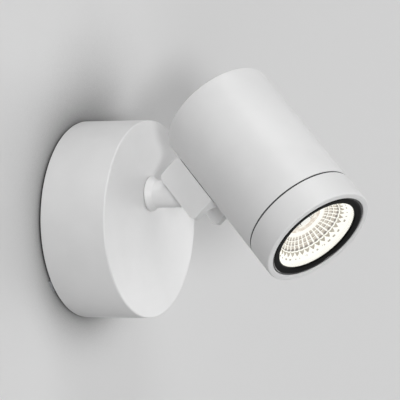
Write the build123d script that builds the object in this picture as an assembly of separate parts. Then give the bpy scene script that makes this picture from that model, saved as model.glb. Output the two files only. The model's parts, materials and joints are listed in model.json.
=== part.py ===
"""Pivoting spotlight wall light: round wall base, flared swivel stem, ball knuckle, lamp head.

Millimetres. The origin lies on the wall at the middle of the round base, +Z is up and the
light stands out of the wall along -Y. The lamp head is built where it points at rest.
"""
from build123d import *
import math
import os

# ------------------------------------------------------------------ shared clearances
SNUG = 0.05  # between pieces that touch or turn in each other
COLLAR_GAP = 0.3  # visible joint between the stem's collar and the base

# ------------------------------------------------------------------ wall base
BASE_RADIUS = 55.0
BASE_STANDOFF = 1.0  # dark shadow gap between the wall and the cover's rim
BASE_FRONT = 40.5  # front face of the cover, out of the wall
COVER_WALL = 2.2
COVER_FACE = 3.0
COVER_EDGE = 1.0  # rounded front edge
COVER_RIBS = 4
COVER_RIB_THICK = 1.8
COVER_RIB_DEPTH = 4.0
PLATE_THICK = 1.6
PLATE_INSET = 5.0  # wall plate's rim, inside the cover's
TAB_WIDTH = 10.0
TAB_HEIGHT = 11.0
LUG_WIDTH = 7.4
LUG_PROUD = 0.8  # how far a lug shows beyond the cover
LUG_THICK = 0.8
LUG_ANGLE = 221.7  # round the base from +X, degrees, the other lug is opposite
GASKET_INSET = 1.0  # gasket, inside the cover's rim
GASKET_CLEAR = 1.0  # and round the wall plate
WALL_SLOT_SPACING = 60.0
WALL_SLOT_LENGTH = 9.0
WALL_SLOT_RADIUS = 2.25
CABLE_HOLE_RADIUS = 4.0
GROMMET_RADIUS = 7.0
GROMMET_FLANGE = 9.0
GROMMET_HEIGHT = 3.4
LOCK_SCREW_RADIUS = 1.5
LOCK_SCREW_HEIGHT = 6.0  # out of the wall
LOCK_SCREW_LENGTH = 6.0

# ------------------------------------------------------------------ electrics in the base
DRIVER_LENGTH = 41.0
DRIVER_WIDTH = 30.0
DRIVER_TOP = 21.0
DRIVER_X = -6.0
DRIVER_PORT = 14.0  # height of its cable ports
DRIVER_DROP = 28.0  # its middle, below the base's middle
DRIVER_EAR = 6.5
DRIVER_EAR_THICK = 2.4
SMALL_SCREW_RADIUS = 1.5
SMALL_HEAD_RADIUS = 2.8
SMALL_HEAD_HEIGHT = 1.8
TERMINAL_PITCH = 8.0
TERMINAL_POLES = 3
TERMINAL_DEPTH = 12.0
TERMINAL_HEIGHT = 12.5
TERMINAL_X = -17.0
TERMINAL_Z = 20.0
TERMINAL_WIRE_RADIUS = 1.7
TERMINAL_SCREW_RADIUS = 1.7
TERMINAL_WALL = 0.8
EARTH_X = 26.0
EARTH_Z = 16.0
EARTH_TAG_THICK = 0.8
LEAD_RADIUS = 1.1
LEAD_UP = 6.0  # wire holes, above the terminal block's foot
LEAD_BEND = 6.0
EARTH_LEAD_REACH = 15.0  # earth lead's loop, past the terminal block's middle
EARTH_LEAD_UP = 1.8
EARTH_TAG_REACH = 9.0
LEAD_LEVEL = 3.0  # where the leads start to rise to the driver
LEAD_RISE = 8.0
BASE_CABLE_HEIGHT = 11.0
BASE_CABLE_RISE = 6.0
BASE_CABLE_BEND = 5.0
CABLE_END_GAP = 1.5  # cable ends, inside the stem's tail
PORT_DEPTH = 3.0

# ------------------------------------------------------------------ swivel stem
STEM_UP = 14.0  # stem axis above the base's middle
STEM_RADIUS = 7.6
COLLAR_RADIUS = 9.75
COLLAR_EDGE = 0.6
COLLAR_CONE = 3.1
SPIGOT_RADIUS = 6.9
STEM_BORE = 3.3
STEM_TAIL = 21.0  # tail end, out of the wall
BUSH_WALL = 1.5
BUSH_FLANGE = 1.2
BOSS_RADIUS = 13.0
BOSS_DEPTH = 5.5
WASHER_THICK = 1.0
WASHER_RADIUS = 11.0
SPRING_THICK = 0.7
SPRING_RISE = 0.5
NUT_FLATS = 20.0
NUT_THICK = 5.0
STOP_PIN_RADIUS = 1.25
STOP_REACH = 14.0
STOP_TAB_WIDTH = 2.5
CABLE_RADIUS = 1.6
SEAL_RADIUS = 0.5  # half the O-ring's thickness
SEAL_DROP = 3.0  # O-ring, behind the base's front face

# ------------------------------------------------------------------ ball knuckle
PIVOT_OUT = 28.25  # ball centre, out of the base's front face
BALL_RADIUS = 10.5
BALL_NECK = 5.6
BALL_SOCKET_DEPTH = 5.0
BALL_MOUTH = 8.0  # width of the cable's fan slot
BALL_MOUTH_FROM = -32.0  # degrees about the ball, from the stem's axis
BALL_MOUTH_TO = 93.0
BALL_HOLLOW = 5.0
BLOCK_WIDTH = 26.1
BLOCK_LENGTH = 34.6
BLOCK_BACK = 6.65  # rear face, from the ball's centre
BLOCK_CORNER = 3.0
GROOVE_RADIUS = 9.3
GROOVE_UP = 2.8  # middle of the groove's round floor, from the ball's centre
HEAD_CLEAR = 7.15  # lamp's side, from the ball's centre
SEAT_TOP = 6.0
SEAT_BOTTOM = 10.2  # inside the lamp's wall
SEAT_HOLE = 6.8
DISC_SPRING_THICK = 0.9
CLAMP_DEPTH = 5.55  # clamp plate, at its thickest
CLAMP_LENGTH = 33.0
CLAMP_HOLE = 6.0
BLOCK_SCREW_RADIUS = 1.25
BLOCK_SCREW_HEAD = 2.2
BLOCK_SCREW_HEIGHT = 1.8
BLOCK_SCREW_X = 11.2
BLOCK_SCREW_Z = 13.0

# ------------------------------------------------------------------ lamp head, along the beam
HEAD_RADIUS = 32.35
HEAD_WALL = 3.8
HEAD_REAR = -25.4
HEAD_REAR_WALL = 3.0
HEAD_REAR_EDGE = 1.2
HEAD_FRONT = 74.1
BEZEL_LENGTH = 16.7
BEZEL_WALL = 1.75
BEZEL_LIP = 1.1
BEZEL_RIM = 3.45  # width of its white lip
BEZEL_EDGE = 0.8
SEAM_WIDTH = 0.6
SPIGOT_WALL = 1.5
RING_RECESS = 0.6
RING_THICK = 1.4
RING_WIDTH = 4.9
RING_BEAD_INSET = 0.9
RING_BEAD_WIDTH = 0.5
RING_BEAD_DEPTH = 0.3
RING_FLANGE = 0.8
GLASS_THICK = 2.0
SEAL_THICK = 0.6
SEAL_WIDTH = 3.2
REFLECTOR_FLANGE = 0.8
REFLECTOR_WALL = 1.0
REFLECTOR_FLUTES = 36
REFLECTOR_RINGS = (1.033, 0.975, 0.858, 0.725, 0.583, 0.45, 0.317)  # facet rings, as shares of the mouth
REFLECTOR_DEPTHS = (0.0, 3.4, 6.2, 8.5, 10.2, 11.4, 12.1)  # its depth behind the rim
BOARD_RADIUS = 18.0
BOARD_THICK = 1.6
BOARD_GAP = 0.1
CHIP_RADIUS = 5.6
CHIP_THICK = 0.75
DOME_RADIUS = 5.0
DOME_HEIGHT = 3.6
BOARD_SCREW_OUT = 15.5
BOARD_SCREW_RADIUS = 1.0
BOARD_SCREW_HEAD = 1.9
BOARD_SCREW_HEIGHT = 0.9
SINK_DISC = 6.0
SINK_FIN = 1.8
SINK_FIN_PITCH = 6.6
SINK_FINS = 7
SINK_FIN_LENGTH = 13.0
SINK_NOTCH = 2.6

# ------------------------------------------------------------------ rest pose, as photographed
REST_PAN = 15.3
REST_TILT = 46.35
REST_ROLL = 11.0  # the block's turn about the beam, inside the ball joint's freedom

# ------------------------------------------------------------------ worked-out sizes
cover_bore = BASE_RADIUS - COVER_WALL
plate_radius = BASE_RADIUS - PLATE_INSET
plate_top = PLATE_THICK + SNUG
lead_height = plate_top + LEAD_UP
cover_ceiling = BASE_FRONT - COVER_FACE
boss_end = cover_ceiling - BOSS_DEPTH
bush_bore = SPIGOT_RADIUS + SNUG
bush_outer = bush_bore + BUSH_WALL
collar_seat = BASE_FRONT + COLLAR_GAP
pivot_height = BASE_FRONT + PIVOT_OUT
pocket_radius = BALL_RADIUS + SNUG
head_drop = HEAD_RADIUS + HEAD_CLEAR
head_bore = HEAD_RADIUS - HEAD_WALL
clamp_floor = head_drop - head_bore + CLAMP_DEPTH
bezel_opening = HEAD_RADIUS - BEZEL_RIM
ring_inner = bezel_opening - RING_WIDTH
ring_bead = bezel_opening - RING_BEAD_INSET
bezel_bore = HEAD_RADIUS - BEZEL_WALL
bezel_back = HEAD_FRONT - BEZEL_LENGTH
housing_front = bezel_back - SEAM_WIDTH
spigot_outer = bezel_bore - 2 * SNUG
spigot_inner = spigot_outer - SPIGOT_WALL
stack_radius = bezel_bore - 8 * SNUG
lip_back = HEAD_FRONT - BEZEL_LIP
ring_front = HEAD_FRONT - RING_RECESS
ring_back = ring_front - RING_THICK
ring_outer = bezel_opening - 2 * SNUG
glass_front = ring_back - SNUG
glass_back = glass_front - GLASS_THICK
seal_back = glass_back - SNUG - SEAL_THICK
flange_front = seal_back - SNUG
flange_back = flange_front - REFLECTOR_FLANGE
spigot_front = flange_back - SNUG
rim_front = glass_back - 2 * SNUG
reflector_floor = rim_front - REFLECTOR_DEPTHS[-1] - 0.7 * REFLECTOR_WALL
board_front = reflector_floor - BOARD_GAP
sink_front = board_front - BOARD_THICK - SNUG
sink_back = sink_front - SINK_DISC
facet_radii = [share * ring_inner for share in REFLECTOR_RINGS]
cable_lane = clamp_floor + 5.5  # lamp cable's run along the beam, from the ball's centre
head_cable_radius = 0.9 * CABLE_RADIUS

pan = math.radians(REST_PAN)
tilt = math.radians(REST_TILT)
roll = math.radians(REST_ROLL)
wall = Plane(origin=(0, 0, 0), x_dir=(1, 0, 0), z_dir=(0, -1, 0))
stem_right = Vector(math.cos(pan), 0, -math.sin(pan))
stem_up = Vector(math.sin(pan), 0, math.cos(pan))
stem_out = Vector(0, -1, 0)
stem = Plane(origin=(0, 0, STEM_UP), x_dir=stem_right, z_dir=stem_out)
pivot = Vector(0, -pivot_height, STEM_UP)
beam = stem_out * math.cos(tilt) - stem_up * math.sin(tilt)
side = stem_right * -math.cos(roll) + beam.cross(stem_right * -1) * math.sin(roll)
knuckle = Plane(origin=pivot, x_dir=side, z_dir=beam)
lamp = Plane(origin=pivot - knuckle.y_dir * head_drop, x_dir=side, z_dir=beam)


def disc(radius, low, high, x=0.0, y=0.0):
    """A cylinder along local Z between two heights."""
    return Pos(x, y, (low + high) / 2) * Cylinder(radius, high - low)


def ring(outer, inner, low, high, x=0.0, y=0.0):
    """A flat ring along local Z."""
    return disc(outer, low, high, x, y) - disc(inner, low - 1, high + 1, x, y)


def rod(radius, low, high, x=0.0, z=0.0):
    """A cylinder along local Y between two places."""
    return Pos(x, (low + high) / 2, z) * Rot(X=90) * Cylinder(radius, high - low)


def block(x_low, x_high, y_low, y_high, z_low, z_high):
    """A box given by its six faces."""
    middle = Pos((x_low + x_high) / 2, (y_low + y_high) / 2, (z_low + z_high) / 2)
    return middle * Box(x_high - x_low, y_high - y_low, z_high - z_low)


def turned(points):
    """A solid of revolution about local Z from (radius, height) points."""
    outline = Polyline(*[(radius, 0, height) for radius, height in points], close=True)
    return revolve(make_face(outline), Axis.Z)


def pan_screw(shank, head, height, low, seat, x=0.0, y=0.0):
    """A pan-head screw along local Z with a cross slot in its head."""
    body = disc(shank, low, seat, x, y) + disc(head, seat, seat + height, x, y)
    slot = block(-head, head, -head / 8, head / 8, seat + height / 2, seat + height + 1)
    cross = slot + Rot(Z=90) * slot
    return body - Pos(x, y, 0) * cross


# ------------------------------------------------------------------ base pieces, in the wall plane
def lug_sector(reach):
    """The two opposite lugs that show at the rim of the wall plate."""
    lug = block(plate_radius - 2, reach, -LUG_WIDTH / 2, LUG_WIDTH / 2, 0, LUG_THICK)
    lugs = Rot(Z=LUG_ANGLE) * lug + Rot(Z=LUG_ANGLE + 180) * lug
    return lugs & disc(reach, -1, LUG_THICK + 1)


def make_wall_plate():
    plate = disc(plate_radius, 0, PLATE_THICK) + lug_sector(BASE_RADIUS + LUG_PROUD)
    tab_out = plate_radius - SNUG
    for turn in (0, 180):
        tab = block(-TAB_WIDTH / 2, TAB_WIDTH / 2, tab_out - 2 * PLATE_THICK, tab_out, 0, TAB_HEIGHT)
        tab = tab & disc(tab_out, -1, TAB_HEIGHT + 1)
        screw = rod(LOCK_SCREW_RADIUS + SNUG, tab_out - 10, tab_out + 10, 0, LOCK_SCREW_HEIGHT)
        plate = plate + Rot(Z=turn) * tab - Rot(Z=turn) * screw
    plate = plate - disc(GROMMET_RADIUS + SNUG, -1, PLATE_THICK + 1)
    for x in (-WALL_SLOT_SPACING / 2, WALL_SLOT_SPACING / 2):
        half = WALL_SLOT_LENGTH / 2 - WALL_SLOT_RADIUS
        slot = block(-half, half, -WALL_SLOT_RADIUS, WALL_SLOT_RADIUS, -1, PLATE_THICK + 1)
        slot = slot + disc(WALL_SLOT_RADIUS, -1, PLATE_THICK + 1, -half)
        slot = slot + disc(WALL_SLOT_RADIUS, -1, PLATE_THICK + 1, half)
        plate = plate - Pos(x, 0, 0) * slot
    for x in driver_screw_places():
        plate = plate - disc(SMALL_SCREW_RADIUS + SNUG, -1, PLATE_THICK + 1, x, -DRIVER_DROP)
    for x in terminal_pegs():
        plate = plate - disc(SMALL_SCREW_RADIUS + SNUG, -1, PLATE_THICK + 1, x, TERMINAL_Z)
    return plate - disc(SMALL_SCREW_RADIUS + SNUG, -1, PLATE_THICK + 1, EARTH_X, EARTH_Z)


def make_wall_gasket():
    gasket = ring(BASE_RADIUS - GASKET_INSET, plate_radius + GASKET_CLEAR, 0, BASE_STANDOFF - SNUG)
    lug = block(0, BASE_RADIUS + 2, -LUG_WIDTH / 2 - SNUG, LUG_WIDTH / 2 + SNUG, -1, BASE_STANDOFF + 1)
    return gasket - Rot(Z=LUG_ANGLE) * lug - Rot(Z=LUG_ANGLE + 180) * lug


def make_base_cover():
    shell = disc(BASE_RADIUS, BASE_STANDOFF, BASE_FRONT)
    front_edge = shell.edges().group_by(Axis.Z)[-1]
    shell = fillet(front_edge, COVER_EDGE)
    shell = shell - disc(cover_bore, BASE_STANDOFF - 1, cover_ceiling)
    for place in range(COVER_RIBS):
        half = COVER_RIB_THICK / 2
        rib = block(0, 2 * BASE_RADIUS, -half, half, cover_ceiling - COVER_RIB_DEPTH, cover_ceiling + 1)
        rib = Pos(0, STEM_UP, 0) * Rot(Z=45 + 360 / COVER_RIBS * place) * rib
        shell = shell + (rib & disc(cover_bore + 1, 0, cover_ceiling + 1))
    shell = shell + disc(BOSS_RADIUS, boss_end, cover_ceiling + 1, 0, STEM_UP)
    shell = shell + disc(2 * STOP_PIN_RADIUS, boss_end, cover_ceiling + 1, *stop_pin_place())
    shell = shell - disc(STOP_PIN_RADIUS + SNUG, boss_end - 1, cover_ceiling + SNUG, *stop_pin_place())
    shell = shell - disc(bush_outer + SNUG, boss_end - 1, BASE_FRONT + 1, 0, STEM_UP)
    for turn in (0, 180):
        screw = rod(LOCK_SCREW_RADIUS + SNUG, cover_bore - 5, BASE_RADIUS + 5, 0, LOCK_SCREW_HEIGHT)
        shell = shell - Rot(Z=turn) * screw
    return shell


def make_lock_screws():
    screws = []
    for turn in (0, 180):
        top = BASE_RADIUS - 2 * SNUG
        screw = rod(LOCK_SCREW_RADIUS, top - LOCK_SCREW_LENGTH, top, 0, LOCK_SCREW_HEIGHT)
        hexagon = extrude(RegularPolygon(0.9, 6), 1.2, both=True)
        key = Pos(0, top, LOCK_SCREW_HEIGHT) * Rot(X=90) * hexagon
        screws.append(Rot(Z=turn) * (screw - key))
    return Compound(children=screws)


def make_cable_grommet():
    sleeve = disc(GROMMET_RADIUS, 0, PLATE_THICK + SNUG)
    flange = disc(GROMMET_FLANGE, PLATE_THICK + SNUG, GROMMET_HEIGHT)
    flange = chamfer(flange.edges().group_by(Axis.Z)[-1], 0.8)
    return sleeve + flange - disc(CABLE_HOLE_RADIUS, -1, GROMMET_HEIGHT + 1)


def driver_screw_places():
    reach = DRIVER_LENGTH / 2 + DRIVER_EAR / 2
    return (DRIVER_X - reach, DRIVER_X + reach)


def make_driver_case():
    low = plate_top
    half = DRIVER_LENGTH / 2
    case = block(-half, half, -DRIVER_WIDTH / 2, DRIVER_WIDTH / 2, low, DRIVER_TOP)
    case = fillet(case.edges().filter_by(Axis.Z), 2.0)
    case = chamfer(case.edges().group_by(Axis.Z)[-1], 1.0)
    ears = block(-half - DRIVER_EAR, half + DRIVER_EAR, -6, 6, low, low + DRIVER_EAR_THICK)
    case = case + fillet(ears.edges().filter_by(Axis.Z), 3.0)
    case = Pos(DRIVER_X, -DRIVER_DROP, 0) * case
    for x in driver_screw_places():
        case = case - disc(SMALL_SCREW_RADIUS + SNUG, 0, DRIVER_TOP, x, -DRIVER_DROP)
    for x in terminal_poles()[:2] + [0]:
        port = rod(CABLE_RADIUS + SNUG, driver_side() - PORT_DEPTH - SNUG, driver_side() + 1, x, DRIVER_PORT)
        case = case - port
    return case


def driver_side():
    """The driver's upper side, where the cables go in."""
    return DRIVER_WIDTH / 2 - DRIVER_DROP


def make_driver_screws():
    seat = PLATE_THICK + 2 * SNUG + DRIVER_EAR_THICK
    screws = []
    for x in driver_screw_places():
        screws.append(pan_screw(SMALL_SCREW_RADIUS, SMALL_HEAD_RADIUS, SMALL_HEAD_HEIGHT, 0.2, seat,
                                x, -DRIVER_DROP))
    return Compound(children=screws)


def terminal_poles():
    first = TERMINAL_X - TERMINAL_PITCH * (TERMINAL_POLES - 1) / 2
    return [first + TERMINAL_PITCH * pole for pole in range(TERMINAL_POLES)]


def terminal_pegs():
    return (TERMINAL_X - TERMINAL_PITCH / 2, TERMINAL_X + TERMINAL_PITCH / 2)


def make_terminal_block():
    low = plate_top
    high = low + TERMINAL_HEIGHT
    body = None
    for x in terminal_poles():
        cell = block(x - 3.7, x + 3.7, TERMINAL_Z - TERMINAL_DEPTH / 2, TERMINAL_Z + TERMINAL_DEPTH / 2,
                     low, high - 3)
        tower = block(x - 3.2, x + 3.2, TERMINAL_Z - 3.5, TERMINAL_Z + 3.5, high - 3.5, high)
        cell = cell + tower
        body = cell if body is None else body + cell
    web = block(terminal_poles()[0], terminal_poles()[-1], TERMINAL_Z - 3, TERMINAL_Z + 3, low, low + 5)
    body = body + web
    for x in terminal_pegs():
        body = body + disc(SMALL_SCREW_RADIUS, 0.2, low + 1, x, TERMINAL_Z)
    for x in terminal_poles():
        reach = TERMINAL_DEPTH
        wire = rod(TERMINAL_WIRE_RADIUS, TERMINAL_Z - reach, TERMINAL_Z + reach, x, lead_height)
        body = body - wire - disc(TERMINAL_SCREW_RADIUS + SNUG, lead_height, high + 1, x, TERMINAL_Z)
    return body


def make_terminal_screws():
    low = plate_top
    high = low + TERMINAL_HEIGHT
    screws = []
    for x in terminal_poles():
        tip = lead_height + LEAD_RADIUS + TERMINAL_WALL
        screw = disc(TERMINAL_SCREW_RADIUS, tip, high - TERMINAL_WALL, x, TERMINAL_Z)
        slot = block(x - 2, x + 2, TERMINAL_Z - 0.25, TERMINAL_Z + 0.25, high - 2 * TERMINAL_WALL, high)
        screws.append(screw - slot)
    return Compound(children=screws)


def make_earth_screw():
    seat = PLATE_THICK + SNUG + EARTH_TAG_THICK + SNUG
    return pan_screw(SMALL_SCREW_RADIUS, SMALL_HEAD_RADIUS, SMALL_HEAD_HEIGHT, 0.2, seat,
                     EARTH_X, EARTH_Z)


def make_earth_tag():
    low = plate_top
    crimp_radius = EARTH_LEAD_UP
    eye = disc(SMALL_HEAD_RADIUS + 1, low, low + EARTH_TAG_THICK)
    neck = block(0, EARTH_TAG_REACH, -1.6, 1.6, low, low + EARTH_TAG_THICK)
    crimp = Pos(EARTH_TAG_REACH, 0, low + crimp_radius) * Rot(Y=90) * Cylinder(crimp_radius, 5)
    bore = Pos(EARTH_TAG_REACH, 0, low + crimp_radius) * Rot(Y=90) * Cylinder(LEAD_RADIUS + SNUG, 6)
    tag = eye + neck + crimp - bore - disc(SMALL_SCREW_RADIUS + SNUG, 0, low + 5)
    return Pos(EARTH_X, EARTH_Z, 0) * Rot(Z=90) * tag


def lead(points, radius, bends):
    """A round lead along straight runs joined by tangent arcs."""
    path = FilletPolyline(*points, radius=bends)
    start = Plane(origin=path @ 0, z_dir=path % 0)
    return sweep(start * Circle(radius), path=path)


def make_supply_lead(x):
    """A mains lead from the terminal block down to the driver."""
    points = [(x, TERMINAL_Z - TERMINAL_WIRE_RADIUS, lead_height), (x, LEAD_LEVEL, lead_height),
              (x, LEAD_LEVEL - LEAD_RISE, DRIVER_PORT), (x, driver_side() - PORT_DEPTH, DRIVER_PORT)]
    return lead(points, LEAD_RADIUS, LEAD_BEND)


def make_earth_lead():
    """Earth lead from the third pole round to the tag on the wall plate."""
    x = terminal_poles()[-1]
    low = plate_top + EARTH_LEAD_UP
    top = TERMINAL_Z + EARTH_LEAD_REACH
    points = [(x, TERMINAL_Z + TERMINAL_WIRE_RADIUS, lead_height), (x, top, lead_height),
              (EARTH_X, top, low), (EARTH_X, EARTH_Z + EARTH_TAG_REACH, low)]
    return lead(points, LEAD_RADIUS, LEAD_BEND)


def make_base_cable():
    """Lamp cable from the driver to the stem's tail, in the wall plane."""
    end = STEM_TAIL - CABLE_END_GAP - SNUG
    points = [(0, driver_side() - PORT_DEPTH, DRIVER_PORT), (0, -BASE_CABLE_RISE, DRIVER_PORT),
              (0, 0, BASE_CABLE_HEIGHT), (0, STEM_UP, BASE_CABLE_HEIGHT), (0, STEM_UP, end)]
    return lead(points, CABLE_RADIUS, BASE_CABLE_BEND)


# ------------------------------------------------------------------ stem pieces, in the stem plane
def stop_pin_place():
    """Where the stop pin stands in the base: straight above the stem's axis."""
    return (0, STEM_UP + STOP_REACH)


def make_stop_pin():
    low = boss_end - WASHER_THICK * 2 - 1.4
    return disc(STOP_PIN_RADIUS, low, cover_ceiling, *stop_pin_place())


def make_stem_bush():
    """Plain bush in the base, in which the stem turns."""
    bush = ring(bush_outer, bush_bore, boss_end - BUSH_FLANGE, BASE_FRONT - 2 * SNUG)
    flange = ring(WASHER_RADIUS, bush_bore, boss_end - BUSH_FLANGE, boss_end - SNUG)
    return bush + flange


def make_stem_seal():
    """Square-section sealing ring in the stem's groove, against the bush."""
    outer = bush_bore - SNUG / 2
    middle = BASE_FRONT - SEAL_DROP
    return ring(outer, outer - 2 * SEAL_RADIUS, middle - SEAL_RADIUS, middle + SEAL_RADIUS)


def make_stem_tube():
    edge = collar_seat + COLLAR_EDGE
    cone = edge + COLLAR_CONE
    neck_end = pivot_height - math.sqrt(BALL_RADIUS ** 2 - STEM_RADIUS ** 2) - SNUG
    nose = neck_end + BALL_SOCKET_DEPTH
    groove = BASE_FRONT - SEAL_DROP
    half = SEAL_RADIUS + SNUG
    floor = bush_bore - SNUG - 2 * SEAL_RADIUS
    return turned([
        (STEM_BORE, STEM_TAIL), (SPIGOT_RADIUS, STEM_TAIL), (SPIGOT_RADIUS, groove - half),
        (floor, groove - half), (floor, groove + half), (SPIGOT_RADIUS, groove + half),
        (SPIGOT_RADIUS, collar_seat), (COLLAR_RADIUS - 0.3, collar_seat), (COLLAR_RADIUS, collar_seat + 0.3),
        (COLLAR_RADIUS, edge), (STEM_RADIUS, cone), (STEM_RADIUS, neck_end), (BALL_NECK, neck_end),
        (BALL_NECK, nose), (STEM_BORE, nose)])


def washer_stack():
    """Heights of the pieces under the bush, from the bush down towards the wall."""
    thrust_top = boss_end - BUSH_FLANGE - SNUG
    stop_top = thrust_top - WASHER_THICK - SNUG
    spring_top = stop_top - WASHER_THICK - SNUG
    nut_top = spring_top - SPRING_THICK - SPRING_RISE - SNUG
    return thrust_top, stop_top, spring_top, nut_top


def make_thrust_washer():
    top = washer_stack()[0]
    return ring(WASHER_RADIUS, bush_bore, top - WASHER_THICK, top)


def make_stop_washer():
    """Keyed washer whose tab meets the stop pin at either end of the turn."""
    top = washer_stack()[1]
    washer = disc(WASHER_RADIUS, top - WASHER_THICK, top)
    half = STOP_TAB_WIDTH / 2
    reach = STOP_REACH + STOP_PIN_RADIUS
    tab = block(-half, half, -reach, 0, top - WASHER_THICK, top)
    washer = washer + Rot(Z=REST_PAN) * tab
    return washer - disc(bush_bore, top - 5, top + 5)


def make_spring_washer():
    """Coned spring washer that gives the stem its steady drag."""
    top = washer_stack()[2]
    rise = SPRING_RISE
    low = top - SPRING_THICK - rise
    inner = bush_bore
    outer = WASHER_RADIUS - 0.5
    return turned([(inner, low + rise), (outer, low), (outer, low + SPRING_THICK),
                   (inner, low + rise + SPRING_THICK)])


def make_stem_nut():
    top = washer_stack()[3]
    hexagon = RegularPolygon(NUT_FLATS / 2, 6, major_radius=False)
    nut = Pos(0, 0, top - NUT_THICK) * extrude(hexagon, NUT_THICK)
    cone = turned([(0, top - NUT_THICK), (NUT_FLATS / 2 + 0.3, top - NUT_THICK),
                   (NUT_FLATS / 2 + 3, top - NUT_THICK + 1.6), (NUT_FLATS / 2 + 3, top - 1.6),
                   (NUT_FLATS / 2 + 0.3, top), (0, top)])
    return (nut & cone) - disc(bush_bore, top - NUT_THICK - 1, top + 1)


def make_swivel_ball():
    """Ball screwed onto the stem, with a fan slot that lets the cable swing with the tilt."""
    ball = Pos(0, 0, pivot_height) * Sphere(BALL_RADIUS)
    neck_end = pivot_height - math.sqrt(BALL_RADIUS ** 2 - STEM_RADIUS ** 2)
    ball = ball - disc(BALL_RADIUS, neck_end - BALL_RADIUS, neck_end)
    ball = ball - disc(BALL_NECK + SNUG, neck_end - 1, neck_end + BALL_SOCKET_DEPTH + SNUG)
    ball = ball - disc(STEM_BORE, neck_end, pivot_height)
    half = BALL_MOUTH / 2
    reach = 1.2 * BALL_RADIUS
    outline = Polyline((-half, 0, 0), (half, 0, 0), (half, 0, reach), (-half, 0, reach), close=True)
    fan = revolve(make_face(outline), Axis.X, BALL_MOUTH_TO - BALL_MOUTH_FROM)
    fan = Rot(X=-BALL_MOUTH_TO) * fan
    hollow = Rot(Y=90) * Cylinder(BALL_HOLLOW, BALL_MOUTH)
    return ball - Pos(0, 0, pivot_height) * (fan + hollow)


def make_stem_cable():
    return disc(CABLE_RADIUS, STEM_TAIL - CABLE_END_GAP, pivot_height - CABLE_RADIUS - 0.3)


def make_base_cable():
    """Lamp cable from the driver to the stem's tail, in the wall plane."""
    end = STEM_TAIL - 1.5 - SNUG
    points = [(0, driver_side() - 3, DRIVER_PORT), (0, -6, DRIVER_PORT), (0, 0, 11.0),
              (0, STEM_UP, 11.0), (0, STEM_UP, end)]
    return lead(points, CABLE_RADIUS, 5.0)


# ------------------------------------------------------------------ knuckle pieces, at the ball
def screw_places():
    return [(x, z) for x in (-BLOCK_SCREW_X, BLOCK_SCREW_X) for z in (-BLOCK_SCREW_Z, BLOCK_SCREW_Z)]


def head_cylinder(radius, low, high):
    """A cylinder along the beam, given from the ball's centre."""
    return Pos(0, -head_drop, 0) * disc(radius, low, high)


def make_knuckle_block():
    """Grooved block on the lamp's side: saddle under it, ball pocket in its groove."""
    half = BLOCK_WIDTH / 2
    end = BLOCK_LENGTH / 2
    saddle = head_drop - math.sqrt(HEAD_RADIUS ** 2 - half ** 2) + 1
    body = block(-half, half, -saddle, BLOCK_BACK, -end, end)
    corners = body.edges().filter_by(Axis.X).group_by(Axis.Y)[-1]
    body = fillet(corners, BLOCK_CORNER)
    body = body - head_cylinder(HEAD_RADIUS + SNUG, -end - 1, end + 1)
    groove = Pos(0, GROOVE_UP, 0) * Cylinder(GROOVE_RADIUS, BLOCK_LENGTH + 2)
    groove = groove + block(-GROOVE_RADIUS, GROOVE_RADIUS, GROOVE_UP, BLOCK_BACK + 1, -end - 1, end + 1)
    body = body - groove - Sphere(pocket_radius)
    body = body - rod(pocket_radius, -saddle - 1, 0)
    for x, z in screw_places():
        body = body - rod(BLOCK_SCREW_RADIUS + SNUG, -saddle - 1, 0.5, x, z)
    return body


def make_ball_seat():
    """Plastic cup that carries the ball from below."""
    seat = rod(pocket_radius - 2 * SNUG, -SEAT_BOTTOM, -SEAT_TOP)
    return seat - Sphere(pocket_radius) - rod(SEAT_HOLE, -SEAT_BOTTOM - 1, 0)


def spring_floor():
    return SEAT_BOTTOM + SNUG + DISC_SPRING_THICK + SNUG


def make_seat_spring():
    top = -SEAT_BOTTOM - SNUG
    spring = rod(pocket_radius - 4 * SNUG, top - DISC_SPRING_THICK, top)
    spring = spring - rod(SEAT_HOLE, top - 2, top + 1)
    dish = Pos(0, top - DISC_SPRING_THICK, 0) * Rot(X=90) * Cone(SEAT_HOLE + 1.2, SEAT_HOLE, 0.8)
    return spring - dish


def make_clamp_plate():
    """Saddle plate inside the lamp that pulls block, wall and ball seat together."""
    half = BLOCK_WIDTH / 2
    end = CLAMP_LENGTH / 2
    plate = block(-half, half, -clamp_floor, 0, -end, end)
    plate = plate & head_cylinder(head_bore - SNUG, -end - 1, end + 1)
    plate = plate - rod(pocket_radius, -spring_floor(), 0)
    plate = plate - rod(CLAMP_HOLE, -clamp_floor - 1, 0)
    for x, z in screw_places():
        plate = plate - rod(BLOCK_SCREW_RADIUS + SNUG, -clamp_floor - 1, 0, x, z)
    return plate


def make_block_screws():
    screws = []
    for x, z in screw_places():
        screw = rod(BLOCK_SCREW_RADIUS, -clamp_floor - SNUG, -0.2, x, z)
        seat = -clamp_floor - SNUG
        head = rod(BLOCK_SCREW_HEAD, seat - BLOCK_SCREW_HEIGHT, seat, x, z)
        hexagon = extrude(RegularPolygon(1.2, 6), 1.0, both=True)
        key = Pos(x, seat - BLOCK_SCREW_HEIGHT, z) * Rot(X=90) * hexagon
        screws.append(screw + head - key)
    return Compound(children=screws)


def make_head_cable():
    """Lamp cable from the ball's hollow to the light engine."""
    start = -head_cable_radius - 0.8
    points = [(0, start, 0), (0, -cable_lane, 0), (0, -cable_lane, board_front)]
    return lead(points, head_cable_radius, 9.0)


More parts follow.
